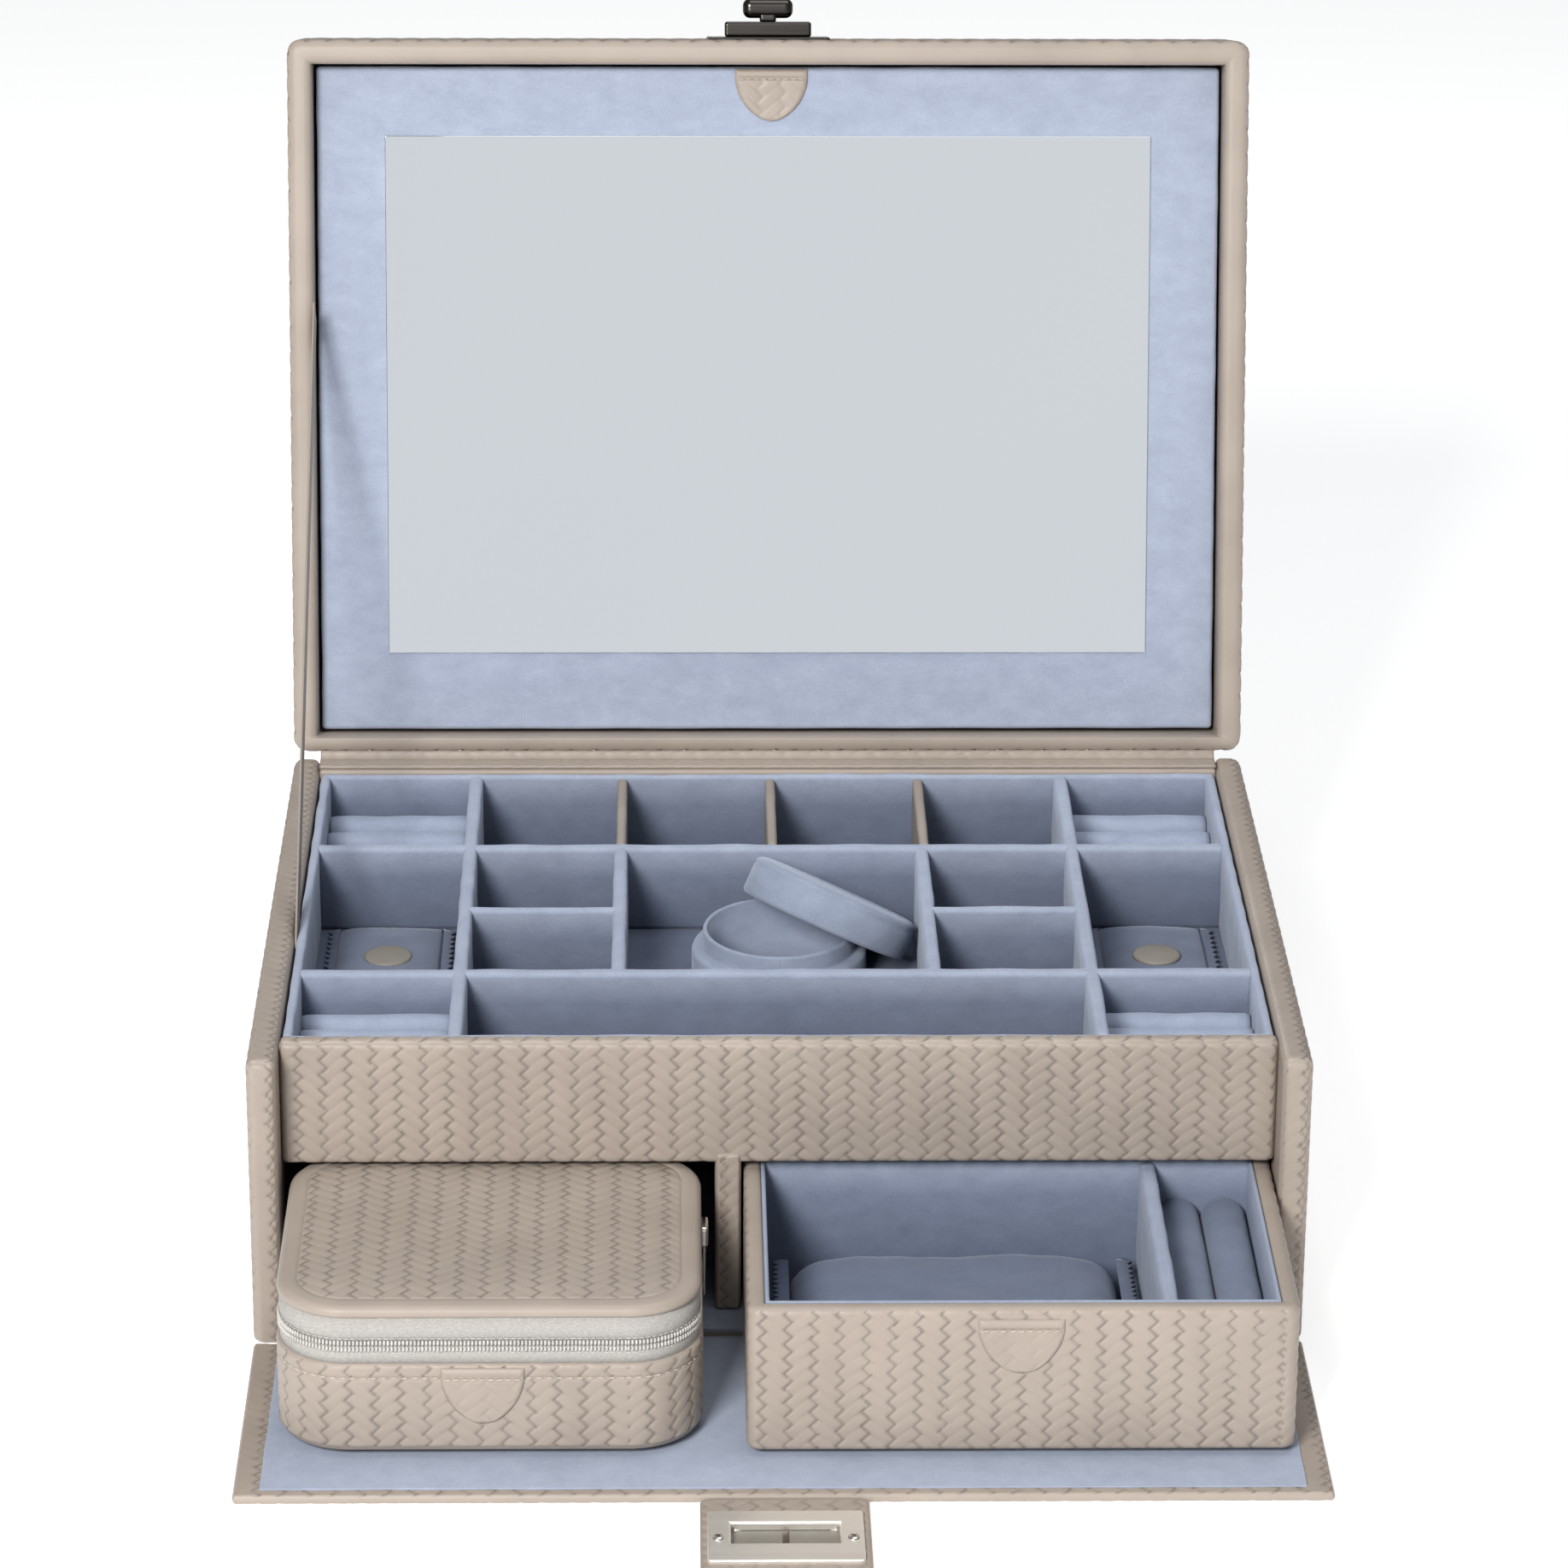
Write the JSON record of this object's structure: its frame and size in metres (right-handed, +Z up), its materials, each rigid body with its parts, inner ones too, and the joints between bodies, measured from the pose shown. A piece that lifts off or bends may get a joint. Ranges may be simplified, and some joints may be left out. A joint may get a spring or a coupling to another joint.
{
  "type": "jewelry case",
  "caption": "Table-top jewelry case with a braided leather look: leaning lid with mirror panel, velvet tray, drop front, drawer and zipped travel case.",
  "frame": {"origin": "centre of the case's underside, on the surface that it stands on", "axes": "+X to the case's right seen from the front, +Y to the back, +Z up"},
  "size_m": [0.33, 0.504, 0.3485],
  "materials": {
    "braided_leather": "embossed, satin",
    "plain_leather": "smooth grain, satin",
    "velvet": "short pile",
    "nickel": "polished nickel",
    "mirror": "polished",
    "zip_tape": "woven tape with a nylon coil"
  },
  "bodies": {
    "case": {"bottom_panel": "braided_leather", "left_side_wall": "braided_leather", "right_side_wall": "braided_leather", "rear_wall": "braided_leather", "bay_floor_lining": "velvet", "bay_divider": "braided_leather", "bay_back_board": "velvet", "tray_floor": "velvet", "tray_front_panel": "braided_leather", "tray_lining_walls": "velvet", "tray_long_dividers": "velvet", "tray_cross_dividers": "velvet", "small_cell_dividers": "velvet", "ring_rolls_rear_left": "velvet", "ring_rolls_rear_right": "velvet", "ring_rolls_front_left": "velvet", "ring_rolls_front_right": "velvet", "lid_spine": "plain_leather", "lid_stay": "plain_leather", "flap_spine": "velvet"},
    "divider_left": {"loose_divider_left": "plain_leather"},
    "divider_middle": {"loose_divider_middle": "plain_leather"},
    "divider_right": {"loose_divider_right": "plain_leather"},
    "lid": {"lid_top_board": "braided_leather", "lid_front_wall": "braided_leather", "lid_rear_wall": "braided_leather", "lid_side_walls": "braided_leather", "lid_well_lining": "velvet", "necklace_bar": "plain_leather", "necklace_hooks": "nickel", "chain_pocket": "velvet", "lock_plate": "nickel", "lock_block": "nickel"},
    "mirror": {"mirror_panel": "velvet", "mirror_glass": "mirror", "mirror_tab": "plain_leather"},
    "knob": {"lock_knob": "nickel"},
    "drop_front": {"flap_board": "braided_leather", "flap_lining": "velvet"},
    "hasp": {"tongue": "plain_leather", "hasp_frame": "nickel", "hasp_cover": "nickel", "hasp_screws": "nickel"},
    "drawer": {"drawer_body": "braided_leather", "drawer_lining": "velvet", "drawer_partition": "velvet", "drawer_ring_rolls": "velvet", "drawer_tab": "plain_leather"},
    "drawer_pouch": {"drawer_pouch": "velvet"},
    "travel_case": {"travel_base": "braided_leather", "travel_lower_zip": "zip_tape", "travel_tab": "plain_leather"},
    "travel_lid": {"travel_lid": "braided_leather", "travel_upper_zip": "zip_tape"},
    "zip_slider": {"zip_slider": "nickel"},
    "round_box": {"round_box": "velvet"},
    "round_lid": {"round_box_lid": "velvet"},
    "pouch_left": {"pouch_left": "velvet"},
    "pouch_right": {"pouch_right": "velvet"}
  },
  "joints": [
    {"name": "lid_hinge", "type": "hinge", "parent": "case", "child": "lid", "pos_m": [0, 0.1245, 0.1], "axis": [1, 0, 0], "range_deg": [0, 104], "deforming": ["lid_spine", "lid_stay"]},
    {"name": "mirror_hinge", "type": "hinge", "parent": "lid", "child": "mirror", "pos_m": [0, 0.13788, 0.10656], "axis": [-1, 0, 0], "range_deg": [-35, 0]},
    {"name": "lock_turn", "type": "hinge", "parent": "lid", "child": "knob", "pos_m": [0, 0.20875, 0.33665], "axis": [0, 0.2419, 0.9703], "range_deg": [0, 90]},
    {"name": "drop_front_hinge", "type": "hinge", "parent": "case", "child": "drop_front", "pos_m": [0, -0.1288, 0.0016], "axis": [-1, 0, 0], "range_deg": [0, 1.2], "deforming": ["flap_spine"]},
    {"name": "tongue_hinge", "type": "hinge", "parent": "drop_front", "child": "hasp", "pos_m": [0, -0.2294, 0.0017], "axis": [-1, 0, 0], "range_deg": [0, 80]},
    {"name": "drawer_slide", "type": "slide", "parent": "case", "child": "drawer", "axis": [0, 1, 0], "range_m": [-0.02, 0.094]},
    {"name": "drawer_pouch_lift", "type": "slide", "parent": "drawer", "child": "drawer_pouch", "axis": [0, 0, -1], "range_m": [-0.04, 0]},
    {"name": "travel_case_slide", "type": "slide", "parent": "case", "child": "travel_case", "axis": [0, 1, 0], "range_m": [-0.02, 0.094]},
    {"name": "travel_lid_hinge", "type": "hinge", "parent": "travel_case", "child": "travel_lid", "pos_m": [-0.0888, -0.098, 0.0414], "axis": [1, 0, 0], "range_deg": [-3.5, 0]},
    {"name": "zip_slide", "type": "slide", "parent": "travel_case", "child": "zip_slider", "axis": [0, 1, 0], "range_m": [-0.05, 0]},
    {"name": "round_box_lift", "type": "slide", "parent": "case", "child": "round_box", "axis": [0, 0, -1], "range_m": [-0.05, 0]},
    {"name": "round_lid_lift", "type": "slide", "parent": "round_box", "child": "round_lid", "axis": [0, 0, -1], "range_m": [-0.05, 0]},
    {"name": "pouch_left_lift", "type": "slide", "parent": "case", "child": "pouch_left", "axis": [0, 0, -1], "range_m": [-0.05, 0]},
    {"name": "pouch_right_lift", "type": "slide", "parent": "case", "child": "pouch_right", "axis": [0, 0, -1], "range_m": [-0.05, 0]},
    {"name": "divider_left_lift", "type": "slide", "parent": "case", "child": "divider_left", "axis": [0, 0, -1], "range_m": [-0.035, 0]},
    {"name": "divider_middle_lift", "type": "slide", "parent": "case", "child": "divider_middle", "axis": [0, 0, -1], "range_m": [-0.035, 0]},
    {"name": "divider_right_lift", "type": "slide", "parent": "case", "child": "divider_right", "axis": [0, 0, -1], "range_m": [-0.035, 0]}
  ]
}
